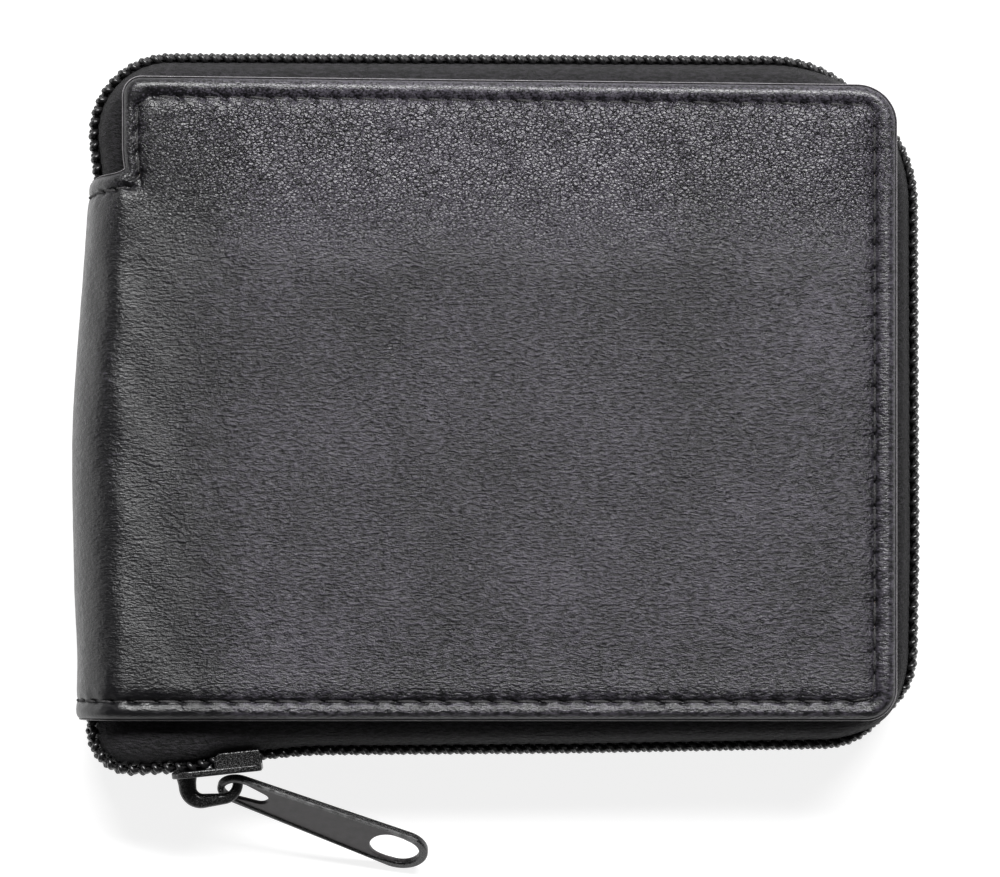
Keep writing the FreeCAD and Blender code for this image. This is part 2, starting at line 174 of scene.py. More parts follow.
def slab(outline, holes, thickness, bevel):
    """Points and faces of a flat part with rounded edges, cut from sheet that lies in the XY plane."""
    curve = bpy.data.curves.new("slab", "CURVE")
    curve.dimensions = "2D"
    curve.fill_mode = "BOTH"
    curve.extrude = thickness / 2 - bevel
    curve.bevel_depth = bevel
    curve.bevel_resolution = 3
    curve.offset = -bevel
    for k, loop in enumerate([outline, *holes]):
        area = np.sum(loop[:, 0] * np.roll(loop[:, 1], -1) - loop[:, 1] * np.roll(loop[:, 0], -1))
        loop = loop if (area > 0) == (k == 0) else loop[::-1]
        spline = curve.splines.new("POLY")
        spline.points.add(len(loop) - 1)
        for point, (x, y) in zip(spline.points, loop):
            point.co = (x, y, 0, 1)
        spline.use_cyclic_u = True
    holder = linked("slab", curve)
    graph = bpy.context.evaluated_depsgraph_get()
    mesh = bpy.data.meshes.new_from_object(holder.evaluated_get(graph))
    points = np.array([v.co for v in mesh.vertices])
    faces = [list(p.vertices) for p in mesh.polygons]
    bpy.data.objects.remove(holder)
    bpy.data.curves.remove(curve)
    bpy.data.meshes.remove(mesh)
    return points, faces


def tube(line, radius, sides):
    """Points and faces of a closed round tube along a line. Each point may have its own radius."""
    line = np.asarray(line, float)
    radius = np.broadcast_to(radius, len(line))
    along = np.gradient(line, axis=0)
    along /= np.linalg.norm(along, axis=1)[:, None]
    side = np.cross(along, (0.0, 0.0, 1.0))
    weak = np.linalg.norm(side, axis=1) < 0.2
    side[weak] = np.cross(along[weak], (1.0, 0.0, 0.0))
    side /= np.linalg.norm(side, axis=1)[:, None]
    other = np.cross(along, side)
    turn = np.linspace(0, 2 * np.pi, sides, endpoint=False)[None, :, None]
    ring = side[:, None] * np.cos(turn) + other[:, None] * np.sin(turn)
    points = line[:, None] + ring * radius[:, None, None]
    first, last = (np.repeat(end[None, None], sides, 1) for end in (line[0], line[-1]))
    points = np.concatenate([first, points, last])
    return points.reshape(-1, 3), quads(len(points), sides, closed=True)


def lengths(points):
    """Length along a line up to each of its points."""
    return np.concatenate([[0], np.cumsum(np.hypot(*np.diff(points, axis=0).T))])


def averaged(values, reach):
    """Running mean over this many neighbours on each side."""
    count = 2 * reach + 1
    return np.convolve(np.pad(values, reach, mode="edge"), np.ones(count) / count, mode="valid")


def smooth(value, low, high):
    t = np.clip((value - low) / (high - low), 0, 1)
    return t * t * (3 - 2 * t)


def ripples(x, y, length, seed):
    """Gentle uneven waves of about this length, between -1 and 1."""
    picks = np.random.default_rng(seed)
    total = np.zeros_like(np.asarray(x, float))
    for _ in range(6):
        angle = picks.uniform(0, 2 * np.pi)
        size = length * picks.uniform(0.6, 1.6)
        shift = picks.uniform(0, 2 * np.pi)
        total += np.sin((x * math.cos(angle) + y * math.sin(angle)) * 2 * np.pi / size + shift)
    return total / 6


# ---- materials

class Shader:
    """A short way to write a node material."""

    def __init__(self, name):
        self.material = bpy.data.materials.new(name)
        self.material.use_nodes = True
        self.tree = self.material.node_tree
        self.main = self.tree.nodes["Principled BSDF"]
        self.place = self.tree.nodes.new("ShaderNodeTexCoord").outputs["Object"]

    def node(self, kind, inputs=(), **settings):
        made = self.tree.nodes.new(kind)
        for key, value in settings.items():
            setattr(made, key, value)
        for key, value in dict(inputs).items():
            socket = made.inputs[key]
            if isinstance(value, bpy.types.NodeSocket):
                self.tree.links.new(value, socket)
            else:
                socket.default_value = value
        return made

    def scaled(self, scale, rotation=(0, 0, 0)):
        """Coordinates with this many units in a millimetre, which may differ by axis."""
        scale = (scale,) * 3 if not hasattr(scale, "__len__") else scale
        inputs = {"Vector": self.place, "Scale": [s / MM for s in scale], "Rotation": rotation}
        return self.node("ShaderNodeMapping", inputs).outputs[0]

    def noise(self, scale, detail=3.0, roughness=0.55):
        inputs = {"Vector": self.scaled(scale), "Scale": 1.0, "Detail": detail, "Roughness": roughness}
        return self.node("ShaderNodeTexNoise", inputs).outputs["Fac"]

    def cells(self, scale, feature="F1", warp=0.0, rotation=(0, 0, 0)):
        """Distances in a pattern of cells, whose outlines wander where there is a warp."""
        vector = self.scaled(scale, rotation)
        if warp:
            swirl = self.node("ShaderNodeTexNoise", {"Vector": vector, "Scale": 0.7, "Detail": 2.0})
            inputs = {0: swirl.outputs["Color"], 1: (warp,) * 3}
            offset = self.node("ShaderNodeVectorMath", inputs, operation="MULTIPLY").outputs[0]
            vector = self.node("ShaderNodeVectorMath", {0: vector, 1: offset}, operation="ADD").outputs[0]
        made = self.node("ShaderNodeTexVoronoi", {"Vector": vector, "Scale": 1.0}, feature=feature)
        return made.outputs["Distance"]

    def ramp(self, value, *stops):
        """Colour ramp; each stop is (position, grey or colour)."""
        made = self.node("ShaderNodeValToRGB", {"Fac": value})
        for _ in range(len(stops) - 2):
            made.color_ramp.elements.new(0.5)
        for element, (position, colour) in zip(made.color_ramp.elements, stops):
            element.position = position
            colour = (colour,) * 3 if not hasattr(colour, "__len__") else colour
            element.color = (*colour, 1.0)
        return made.outputs["Color"]

    def math(self, operation, a, b=0.0, c=0.0):
        return self.node("ShaderNodeMath", {0: a, 1: b, 2: c}, operation=operation).outputs[0]

    def mix(self, factor, a, b):
        return self.node("ShaderNodeMix", {"Factor": factor, "A": a, "B": b}).outputs["Result"]

    def bump(self, height, distance, strength=1.0, under=None):
        inputs = {"Height": height, "Distance": distance * MM, "Strength": strength}
        if under is not None:
            inputs["Normal"] = under
        return self.node("ShaderNodeBump", inputs).outputs["Normal"]

    def finish(self, **sockets):
        names = {"colour": "Base Color", "roughness": "Roughness", "normal": "Normal", "alpha": "Alpha",
                 "specular": "Specular IOR Level", "coat": "Coat Weight", "coat_roughness": "Coat Roughness"}
        for key, value in sockets.items():
            socket = self.main.inputs[names[key]]
            if isinstance(value, bpy.types.NodeSocket):
                self.tree.links.new(value, socket)
            else:
                socket.default_value = value
        return self.material


def leather(name, dark, light, rough, grain=1.0):
    """Leather: small long bumps, pores, and round pebbles and cracks near the top. Hollows and cracks are
    painted darker, partly pigment and partly painted shade; the upper part has painted light, and the side
    by the spine and the bottom have painted shade.
    """
    s = Shader(name)
    spot = s.node("ShaderNodeSeparateXYZ", {"Vector": s.place}).outputs

    def zone(axis, low, high, a, b):
        inputs = {"Value": spot[axis], "From Min": low * MM, "From Max": high * MM}
        inputs |= {"To Min": a, "To Max": b}
        return s.node("ShaderNodeMapRange", inputs, interpolation_type="SMOOTHSTEP").outputs["Result"]

    patch = s.noise(0.05, 2.0)
    flesh = s.math("MULTIPLY", zone("X", -52, -33, 0.45, 1.0), zone("Y", -43, -32, 0.4, 1.0))
    hem = s.math("MULTIPLY", zone("Y", 38.6, 39.8, 1.0, 0.3), zone("X", 49.8, 51, 1.0, 0.4))
    flesh = s.math("MULTIPLY", flesh, hem)
    upper = s.math("MULTIPLY_ADD", patch, 0.5, zone("Y", 12, 33, -0.3, 0.62))
    upper = s.node("ShaderNodeClamp", {"Value": upper}).outputs[0]
    long_bumps = s.noise((1.15, 2.9, 1.15), 3.0, 0.62)
    pebbles = s.ramp(s.cells((2.7, 3.3, 2.7), warp=0.9), (0.0, 0.85), (0.95, 0.2))
    surface = s.mix(upper, long_bumps, pebbles)
    cracks = s.cells((1.5, 2.0, 1.5), feature="DISTANCE_TO_EDGE", warp=1.6, rotation=(0, 0, 0.6))
    cracks = s.ramp(cracks, (0.0, 0.0), (0.11, 1.0))
    cracked = s.mix(upper, 1.0, cracks)
    pores = s.ramp(s.cells(0.9, warp=0.5), (0.0, 0.0), (0.10, 1.0))
    normal = s.bump(s.noise(0.3, 2.0), 0.12 * grain)
    soft = s.math("MULTIPLY", flesh, s.math("MULTIPLY_ADD", upper, -0.72, 1.0))
    normal = s.bump(surface, 0.46 * grain, soft, under=normal)
    normal = s.bump(s.noise(2.4, 2.0, 0.6), 0.17 * grain, soft, under=normal)
    normal = s.bump(cracked, 0.10 * grain, flesh, under=normal)
    normal = s.bump(pores, 0.05 * grain, under=normal)
    # Colour follows the bumps: hollows and cracks are darker, partly pigment and partly painted shade.
    tone_and_painted_light = s.math("MULTIPLY_ADD", surface, 0.85, s.math("MULTIPLY", cracked, 0.22))
    tone_and_painted_light = s.math("MULTIPLY_ADD", patch, 0.25, tone_and_painted_light)
    # Painted light: the upper part of the leather is made lighter.
    tone_and_painted_light = s.math("MULTIPLY_ADD", upper, 0.09, tone_and_painted_light)
    # Painted shade: darker towards the spine and towards the bottom.
    tone_and_painted_light = s.math("ADD", tone_and_painted_light, zone("X", -50, -26, -0.17, 0.0))
    tone_and_painted_light = s.math("ADD", tone_and_painted_light, zone("Y", -42, -30, -0.03, 0.0))
    colour = s.ramp(tone_and_painted_light, (0.695, dark), (0.885, light))
    roughness = s.ramp(s.noise(1.1, 3.0), (0.3, rough - 0.06), (0.75, rough + 0.08))
    return s.finish(colour=colour, roughness=roughness, normal=normal, specular=0.5)


def woven(name, dark, light, across, streak, depth):
    """Woven cloth: fine threads with slightly longer streaks along one axis."""
    s = Shader(name)
    threads = s.noise(across, 2.0, 0.6)
    streaks = s.noise(streak, 3.0, 0.7)
    weave = s.math("MULTIPLY_ADD", streaks, 0.65, s.math("MULTIPLY", threads, 0.35))
    normal = s.bump(weave, depth)
    colour = s.ramp(weave, (0.44, dark), (0.60, light))
    rough = s.ramp(threads, (0.3, 0.62), (0.7, 0.85))
    return s.finish(colour=colour, roughness=rough, normal=normal, specular=0.3)


def enamel(name, dark, light, rough, speckle=0.02):
    """Painted or plated metal with faint unevenness and fine speckle."""
    s = Shader(name)
    cast = s.noise(0.8, 3.0)
    grit = s.noise(7.0, 3.0, 0.7)
    normal = s.bump(cast, 0.02)
    normal = s.bump(s.ramp(grit, (0.5, 0.0), (0.68, 1.0)), speckle, under=normal)
    colour = s.ramp(cast, (0.3, dark), (0.75, light))
    roughness = s.ramp(grit, (0.35, rough - 0.07), (0.7, rough + 0.12))
    return s.finish(colour=colour, roughness=roughness, normal=normal, coat=0.15, coat_roughness=0.12)


def nylon(name):
    s = Shader(name)
    wear = s.noise(1.4, 3.0)
    colour = s.ramp(wear, (0.3, 0.003), (0.75, (0.012, 0.0115, 0.0125)))
    roughness = s.ramp(s.noise(4.0, 2.0), (0.3, 0.26), (0.7, 0.40))
    return s.finish(colour=colour, roughness=roughness, normal=s.bump(s.noise(5.0, 2.0), 0.02), specular=0.6)


def grey_board():
    s = Shader("grey_board")
    fibre = s.noise((2.0, 5.0, 5.0), 4.0, 0.7)
    colour = s.ramp(fibre, (0.3, (0.22, 0.18, 0.14)), (0.7, (0.36, 0.30, 0.23)))
    return s.finish(colour=colour, roughness=0.9, normal=s.bump(fibre, 0.05))


def foam():
    s = Shader("foam_sheet")
    bubbles = s.cells(3.0)
    colour = s.ramp(bubbles, (0.1, 0.03), (0.6, 0.10))
    return s.finish(colour=colour, roughness=0.95, normal=s.bump(bubbles, 0.1))


def clear_film():
    s = Shader("clear_film")
    smear = s.noise(0.12, 3.0)
    rough = s.ramp(smear, (0.35, 0.18), (0.7, 0.30))
    colour = s.ramp(smear, (0.3, (0.80, 0.82, 0.83)), (0.7, (0.88, 0.90, 0.90)))
    return s.finish(colour=colour, roughness=rough, normal=s.bump(smear, 0.05), alpha=0.12, specular=0.2)


def floor_material():
    s = Shader("pale_floor")
    mottle = s.noise(0.02, 2.0)
    colour = s.ramp(mottle, (0.3, 0.31), (0.7, 0.34))
    s.main.inputs["Emission Color"].default_value = (1.0, 1.0, 1.0, 1.0)
    s.main.inputs["Emission Strength"].default_value = 0.84
    return s.finish(colour=colour, roughness=0.9, specular=0.0)


LEATHER = leather("black_leather", (0.002, 0.0018, 0.0026), (0.043, 0.0385, 0.050), rough=0.38)
POCKET = leather("thin_leather", (0.010, 0.009, 0.010), (0.030, 0.028, 0.031), rough=0.40, grain=0.5)
# The cut edge's paint is a lighter grey than the leather: partly its own paint, partly a painted highlight.
EDGE_PAINT_AND_HIGHLIGHT = enamel("edge_paint_and_highlight", (0.07, 0.066, 0.07), (0.15, 0.14, 0.15), rough=0.42)
TAPE = woven("zip_tape_weave", (0.0003, 0.0003, 0.0004), (0.016, 0.0145, 0.0175),
             across=2.4, streak=(1.0, 2.6, 2.6), depth=0.55)
LINING = woven("lining_weave", (0.012, 0.012, 0.013), (0.045, 0.043, 0.047),
               across=4.0, streak=(5.0, 1.2, 5.0), depth=0.05)
THREAD = woven("stitch_thread", 0.006, (0.05, 0.048, 0.05), across=6.0, streak=6.0, depth=0.05)
NYLON = nylon("coil_nylon")
BLACK_METAL = enamel("black_enamel", 0.0015, (0.006, 0.0055, 0.006), rough=0.27, speckle=0.03)
STOP_METAL = enamel("dark_stop_metal", 0.03, 0.08, rough=0.35)
# Painted highlight for the strip along the pull tab's upper edge.
TAB_EDGE_HIGHLIGHT = enamel("tab_edge_painted_highlight", 0.02, 0.22, rough=0.26, speckle=0.05)
TAB_FACE = enamel("tab_face_enamel", (0.046, 0.040, 0.042), (0.070, 0.062, 0.065),
                  rough=0.52, speckle=0.012)


# ---- leather covers

# The leather is worked out unfolded: u is X on the cover, and the spine goes on past FOLD_X.
# ROWS are the distances of the mesh rows from an edge, closest at the rolled edge and the stitches.
ROWS = np.array([0, .04, .08, .12, .16, .19, .21, .24, .28, .34, .42, .54, .7, .9, 1.12, 1.36, 1.6,
                 1.82, 2.02, 2.2, 2.36, 2.52, 2.68, 2.84, 3.0, 3.16, 3.34, 3.55, 3.8, 4.1, 4.5, 5.1, 6.0])
BAND = ROWS[-1]
SPINE_ARC = 27.0
CORNERS = {"notch": 2.6, "top": 5.3, "bottom": 4.2}
# How far the stitches run from each edge.
STITCH_TOP = 2.75
STITCH_SIDE = 3.0
STITCH_FOOT = 2.55
STITCH_NOTCH = 1.95
STITCH_SPINE = 2.3


def spine_top(u):
    """Y of the spine leather's top edge, at this unfolded distance from the fold."""
    away = np.clip(FOLD_X - u, 0, None)
    away = np.minimum(away, SPINE_ARC - away)
    return NOTCH_Y - 1.0 * (1 - np.exp(-np.clip(away, 0, None) / 4.0))


def corner_inset(a, b, radius):
    """Distance to a rounded corner, from the distances to its two straight sides."""
    rounded = radius - np.hypot(radius - a, radius - b)
    return np.where((a < radius) & (b < radius), rounded, np.minimum(a, b))


def inset(u, y):
    """Distance from a point of the unfolded leather to its nearest free edge."""
    left = np.where(y > NOTCH_Y, u - FOLD_X, np.hypot(u - FOLD_X, NOTCH_Y - y))
    cover = np.minimum(corner_inset(u - FOLD_X, HALF - y, CORNERS["notch"]) + (y < NOTCH_Y) * 99,
                       corner_inset(EDGE_X - u, HALF - y, CORNERS["top"]))
    cover = np.minimum(cover, corner_inset(EDGE_X - u, y + HALF, CORNERS["bottom"]))
    cover = np.minimum(cover, np.where(y < NOTCH_Y, left, 99))
    spine = np.minimum(spine_top(u) - y, y + HALF)
    return np.where(u < FOLD_X, spine, cover)


def stitch_runs():
    """The stitch line on the unfolded leather, as straight runs, with the slant of the stitches on each."""
    soft = 0.9
    left, right = FOLD_X + STITCH_NOTCH, EDGE_X - STITCH_SIDE
    top, foot = HALF - STITCH_TOP, -HALF + STITCH_FOOT
    elbow = NOTCH_Y - STITCH_SPINE
    across_spine = np.linspace(FOLD_X - SPINE_ARC, FOLD_X - 1, 14)
    path = [(u, float(spine_top(u)) - STITCH_SPINE, 0.4) for u in across_spine]
    path += [(left, elbow, 0.4), (left, top - 1.3, 0.5), (left + 1.6, top, 0.5), (right - soft, top, 0.75),
             (right, top - soft, 0.3), (right, foot + soft, 0.15), (right - soft, foot, 0.15),
             (FOLD_X, foot, 0.25), (FOLD_X - SPINE_ARC, foot, 0.25)]
    return path


def stitch_holes():
    """Place, direction and slant of each needle hole along the stitch line."""
    path = stitch_runs()
    holes = []
    carry = 1.2
    for (u0, y0, _), (u1, y1, slant) in zip(path, path[1:]):
        length = math.hypot(u1 - u0, y1 - y0)
        along = np.array([(u1 - u0) / length, (y1 - y0) / length])
        pitch = 2.93 if slant > 0.3 else 3.15
        while carry < length:
            holes.append((u0 + along[0] * carry, y0 + along[1] * carry, along[0], along[1], slant))
            carry += pitch
        carry -= length
    return np.array(holes)


HOLES = stitch_holes()


def stitch_distance(u, y):
    nearest = np.full(np.shape(u), 99.0)
    path = stitch_runs()
    for (u0, y0, _), (u1, y1, _) in zip(path, path[1:]):
        du, dy = u1 - u0, y1 - y0
        t = np.clip(((u - u0) * du + (y - y0) * dy) / (du * du + dy * dy), 0, 1)
        nearest = np.minimum(nearest, np.hypot(u - u0 - t * du, y - y0 - t * dy))
    return nearest


# The leather's cut edge is a painted lip: its depth, how much it rounds off, its middle and its half width.
LIP_DEPTH, LIP_ROUND, LIP_MIDDLE, LIP_REACH = 1.12, 0.3, 0.09, 0.11
LIP_END = 0.17


def leather_depth(u, y, crown):
    """How far the leather's outer surface lies below a flat sheet."""
    d = inset(u, y)
    lip = LIP_DEPTH + LIP_ROUND * ((LIP_MIDDLE - d) / LIP_REACH) ** 2
    rise = np.clip(1 - (d - 0.2) / 1.5, 0, 1)
    roll = 1.4 * (1 - np.sqrt(np.clip(1 - rise * rise, 0, 1)))
    near = stitch_distance(u, y)
    valley = 0.26 * np.exp(-(near / 0.36) ** 2) + 0.26 * np.exp(-(near / 1.1) ** 2)
    depth = np.where(d < 0.2, lip, roll) + valley * smooth(d, 0.3, 1.6)
    for hu, hy, au, ay, slant in HOLES:
        close = (np.abs(u - hu) < 2.6) & (np.abs(y - hy) < 2.6)
        if not close.any():
            continue
        du, dy = u[close] - hu, y[close] - hy
        along, inward = du * au + dy * ay, du * ay - dy * au
        a = along * math.cos(slant) + inward * math.sin(slant)
        b = -along * math.sin(slant) + inward * math.cos(slant)
        pull = 0.5 * np.exp(-(a / 0.80) ** 2 - (b / 0.20) ** 2)
        pull += 0.18 * np.exp(-(along / 0.9) ** 2 - ((inward - 0.3) / 1.0) ** 2)
        depth[close] += pull * smooth(d[close], 0.5, 1.5)
    uneven = 0.16 * ripples(u, y, 9.0, 3) + 0.05 * ripples(u, y, 3.2, 5)
    depth -= crown * 0.8 * smooth(d, 2.8, 20.0) ** 0.75 * smooth(u, FOLD_X, FOLD_X + 22)
    return depth - np.minimum(uneven * smooth(d, 0.5, 2.5), depth if crown == 0 else 9)


# How far the spine stands out at each Y, given to follow the outline in the photo.
SWELL = np.array([(-HALF, 6.9), (-40, 6.7), (-36, 6.55), (-32, 6.6), (-26, 6.95), (-18, 7.1), (-9, 7.3),
                  (-2, 7.2), (4, 6.8), (9, 6.4), (14, 6.05), (20, 5.6), (25, 5.2), (31, 4.9)])


def spine_surface(u, y, depth):
    """Points of the spine leather, from unfolded place and depth. The front fold is at u = FOLD_X."""
    table = np.linspace(0, np.pi, 400)
    arc = lengths(np.stack([-BULGE * np.sin(table), MID_Z * np.cos(table)], -1))
    turn = np.interp((FOLD_X - u) / SPINE_ARC * arc[-1], arc, table)
    swell = sum(np.interp(y + shift, *SWELL.T) for shift in (-3, -1, 1, 3)) / 4 * BULGE / 7.0
    depth = depth * (0.4 + 0.6 * np.cos(turn) ** 2)
    nx, nz = -np.sin(turn) * MID_Z, np.cos(turn) * swell
    size = np.hypot(nx, nz)
    return settle(np.stack([FOLD_X - swell * np.sin(turn) - nx / size * depth, y,
                            MID_Z + MID_Z * np.cos(turn) - nz / size * depth], -1))


def settle(points):
    """The leather isn't dead square: its upper edge falls to the right, and it widens by the notch."""
    x, y, z = points[..., 0], points[..., 1], points[..., 2]
    lift = 0.012 * (4.0 - np.clip(x, -50, 50)) * np.clip(y / HALF, 0, 1)
    widen = -0.4 * smooth(y, NOTCH_Y - 2, NOTCH_Y + 3) * smooth(-x, 30, -FOLD_X)
    return np.stack([x + widen, y + lift * smooth(z, 12, 17), z], -1)


def lines(low, high, step, through=()):
    """Grid lines between two values, close together towards both ends."""
    start = low + ROWS
    end = high - ROWS[::-1]
    stops = [start[-1], *through, end[0]]
    runs = [np.linspace(a, b, max(2, round((b - a) / step) + 1))[1:] for a, b in zip(stops, stops[1:])]
    return np.concatenate([start, *runs, end[1:]])


def corner_outline(corner, sx, sy, radius):
    """Outline points round a corner square, from its side along X to its side along Y."""
    x, y = corner
    straight = np.linspace(BAND, radius, 4)[:-1]
    first = np.stack([x - sx * straight, np.full(3, y)], -1)
    turn = np.linspace(0, np.pi / 2, 26)
    arc = np.stack([x - sx * radius * (1 - np.sin(turn)), y - sy * radius * (1 - np.cos(turn))], -1)
    last = np.stack([np.full(3, x), y - sy * straight[::-1]], -1)
    return np.concatenate([first, arc, last])


# Section of the turned edge below the lip, as distances in from the edge and depths.
UNDER = np.array([(0.0, LIP_DEPTH + LIP_ROUND * (LIP_MIDDLE / LIP_REACH) ** 2), (0.0, 1.5), (0.06, 1.68),
                  (0.22, 1.8), (0.3, 1.88), (0.2, 2.0), (0.08, 2.2), (0.08, 2.45), (0.22, 2.7), (0.5, 2.9),
                  (0.9, 3.0), (2.0, 3.05)])


def cover_surface(u, y, depth, front):
    """Points of a cover's leather, from unfolded place and depth."""
    return settle(np.stack([u, y, THICKNESS - depth if front else depth], -1))


def on_lip(u, y, faces):
    return inset(u.ravel()[faces].mean(1), y.ravel()[faces].mean(1)) < LIP_END


def leather_cover(name, front):
    """A cover's leather: one grid, with a fan of rows round each rounded corner, and the turned edge."""
    step = 0.24 if front else 0.4
    xs = lines(FOLD_X, EDGE_X, step)
    ys = lines(-HALF, HALF, step, through=(NOTCH_Y,))
    crown = 1.0 if front else 0.0
    flip = not front

    pile = Pile()
    u, y = np.meshgrid(xs, ys)
    faces = quads(len(ys), len(xs), flip=flip)
    middle_u, middle_y = u.ravel()[faces].mean(1), y.ravel()[faces].mean(1)
    out_right = middle_u > EDGE_X - BAND
    out_left = middle_u < FOLD_X + BAND
    out_top = middle_y > HALF - BAND
    out_foot = middle_y < -HALF + BAND
    corner = (out_top & (out_right | out_left)) | (out_foot & out_right)
    free = (middle_u > FOLD_X + 0.3) | (middle_y > NOTCH_Y) | (middle_y < 0)
    lip = (on_lip(u, y, faces) & free).astype(int)
    pile.add(cover_surface(u, y, leather_depth(u, y, crown), front), faces[~corner], lip[~corner])
    shares = ROWS / BAND
    outlines = []
    for at, sx, sy, key in (((FOLD_X, HALF), -1, 1, "notch"), ((EDGE_X, HALF), 1, 1, "top"),
                            ((EDGE_X, -HALF), 1, -1, "bottom")):
        rim = corner_outline(at, sx, sy, CORNERS[key])
        inner = np.array([at[0] - sx * BAND, at[1] - sy * BAND])
        fan = rim[None] + (inner - rim)[None] * shares[:, None, None]
        fu, fy = fan[..., 0], fan[..., 1]
        fan_faces = quads(len(shares), len(rim), flip=(sx * sy > 0) != flip)
        lip = on_lip(fu, fy, fan_faces).astype(int)
        pile.add(cover_surface(fu, fy, leather_depth(fu, fy, crown), front), fan_faces, lip)
        outlines.append(rim)
    notch_side = np.stack([np.full(9, FOLD_X), np.linspace(NOTCH_Y, HALF - BAND, 9)], -1)
    outline = np.concatenate([notch_side[:-1], outlines[0][::-1], outlines[1], outlines[2][::-1],
                              [(x, -HALF) for x in xs[::-1] if x < EDGE_X - BAND]])
    along = np.gradient(outline, axis=0)
    along /= np.linalg.norm(along, axis=1)[:, None] + 1e-9
    inward = np.stack([along[:, 1], -along[:, 0]], -1)
    under = outline[None] + inward[None] * UNDER[:, 0, None, None]
    depth = np.repeat(UNDER[:, 1, None], len(outline), 1)
    points = cover_surface(under[..., 0], under[..., 1], depth, front)
    pile.add(points, quads(len(UNDER), len(outline), flip=flip))
    return pile.make(name, [LEATHER, EDGE_PAINT_AND_HIGHLIGHT], merge=0.002)


def stitches(name, front, spine=False):
    """The threads between needle holes, sunk in the stitch line."""
    pile = Pile()
    for first, second in zip(HOLES, HOLES[1:]):
        middle = (first[:2] + second[:2]) / 2
        along = second[:2] - first[:2]
        if (middle[0] < FOLD_X) != spine or np.hypot(*along) > 3.6:
            continue
        if spine and (middle[0] < FOLD_X - SPINE_ARC / 2) == front:
            continue
        slant = first[4] * 0.5
        side = np.array([along[1], -along[0]]) / np.linalg.norm(along)
        t = np.linspace(0.06, 0.94, 7)
        line = first[:2] + along * t[:, None] + side * ((0.5 - t) * 0.55 * math.sin(slant) * -2)[:, None]
        depth = 1.02 - 0.42 * np.sin(t * np.pi)
        radius = 0.19 * np.sqrt(np.sin(np.clip(t, 0.08, 0.92) * np.pi)) + 0.03
        if spine:
            points = spine_surface(line[:, 0], line[:, 1], depth)
        else:
            points = cover_surface(line[:, 0], line[:, 1], depth, front)
        pile.add(*tube(points, radius, 6))
    return pile.make(name, [THREAD])


def spine_cloth(name):
    """Lining on the inner side of the spine leather."""
    columns = np.linspace(FOLD_X - 0.3, FOLD_X - SPINE_ARC + 0.3, 60)
    share = np.linspace(0, 1, 60)[:, None]
    low, top = -HALF + 1.5, spine_top(columns)[None] - 1.8
    y = low + (top - low) * share
    u = np.broadcast_to(columns, y.shape)
    pile = Pile()
    for depth, flip in ((1.75, True), (2.2, False)):
        pile.add(spine_surface(u, y, depth + 0.12 * ripples(u, y, 12.0, 8)), quads(*y.shape, flip=flip))
    return pile.make(name, [LINING])


def spine_sheet(name):
    """The spine's leather, from the front fold round to the back one, with its turned edges."""
    columns = np.linspace(FOLD_X, FOLD_X - SPINE_ARC, 88)
    top = spine_top(columns)
    middle = np.linspace(0, 1, 70)[1:-1]
    low_rows = -HALF + ROWS[:, None] + 0 * top[None]
    high_rows = top[None] - ROWS[::-1, None]
    span = low_rows[-1] + (high_rows[0] - low_rows[-1]) * middle[:, None]
    y = np.concatenate([low_rows, span, high_rows])
    u = np.broadcast_to(columns, y.shape).copy()
    depth = leather_depth(u, y, 1.0)
    pile = Pile()
    faces = quads(*y.shape, flip=True)
    pile.add(spine_surface(u, y, depth), faces, on_lip(u, y, faces).astype(int))
    for edge, sign in ((-HALF + 0 * top, 1), (top, -1)):
        under = edge[None] + sign * UNDER[:, 0, None]
        depth = np.repeat(UNDER[:, 1, None], len(columns), 1)
        wide = np.broadcast_to(columns, under.shape)
        pile.add(spine_surface(wide, under, depth), quads(*under.shape, flip=sign > 0))
    rows = np.stack([-HALF + 2.0 + 0 * top, top - 2.0])
    wide = np.broadcast_to(columns, rows.shape)
    pile.add(spine_surface(wide, rows, np.full(rows.shape, 3.05)), quads(*rows.shape))
    return pile.make(name, [LEATHER, EDGE_PAINT_AND_HIGHLIGHT], merge=0.002)


# ---- zip

def zip_line():
    """Dense points of the zip's line in plan, from its top end by the spine to its bottom end."""
    upper = [(ZIP_LEFT + 0.9, 24, 0), (ZIP_LEFT - 0.35, 34.5, 9), (ZIP_LEFT - 0.35, ZIP_TOP + 0.55, 10.0),
             (8, ZIP_TOP + 0.3, 90), (ZIP_RIGHT + 0.1, ZIP_TOP + 0.1, 19), (ZIP_RIGHT + 0.35, -20, 80)]
    lower = [(ZIP_RIGHT - 0.1, ZIP_FOOT, 12.0), (10, ZIP_FOOT - 0.8, 120), (-24, ZIP_FOOT - 1.05, 50),
             (-35.2, ZIP_FOOT - 2.1, 14), (-39.5, ZIP_FOOT - 3.15, 8),
             (ZIP_LEFT - 0.75, ZIP_FOOT - 3.75, 5.0), (ZIP_LEFT - 0.35, -39, 0)]
    points = rounded(upper + lower, steps=40)
    length = lengths(points)
    even = np.arange(0, length[-1], 0.12)
    return np.stack([averaged(np.interp(even, length, points[:, k]), 4) for k in (0, 1)], -1)


ZIP = zip_line()
ZIP_STEP = np.gradient(ZIP, axis=0)
ZIP_STEP /= np.linalg.norm(ZIP_STEP, axis=1)[:, None]
ZIP_OUT = np.stack([-ZIP_STEP[:, 1], ZIP_STEP[:, 0]], -1)
ZIP_AT = lengths(ZIP)


def along_zip(at):
    """Place, outward direction, spread, tuck and tape width at these lengths along the zip's line."""
    return [np.interp(at, ZIP_AT, value) for value in (*ZIP.T, *ZIP_OUT.T, SPREAD, TUCK, TAPE_WIDTH)]


def zip_spread():
    """How far the coil halves stand apart at each point of the zip's line: they part at the slider."""
    x, y = ZIP.T
    return 1.62 * smooth(-x, 34.2, 38.5) * (y < 0)


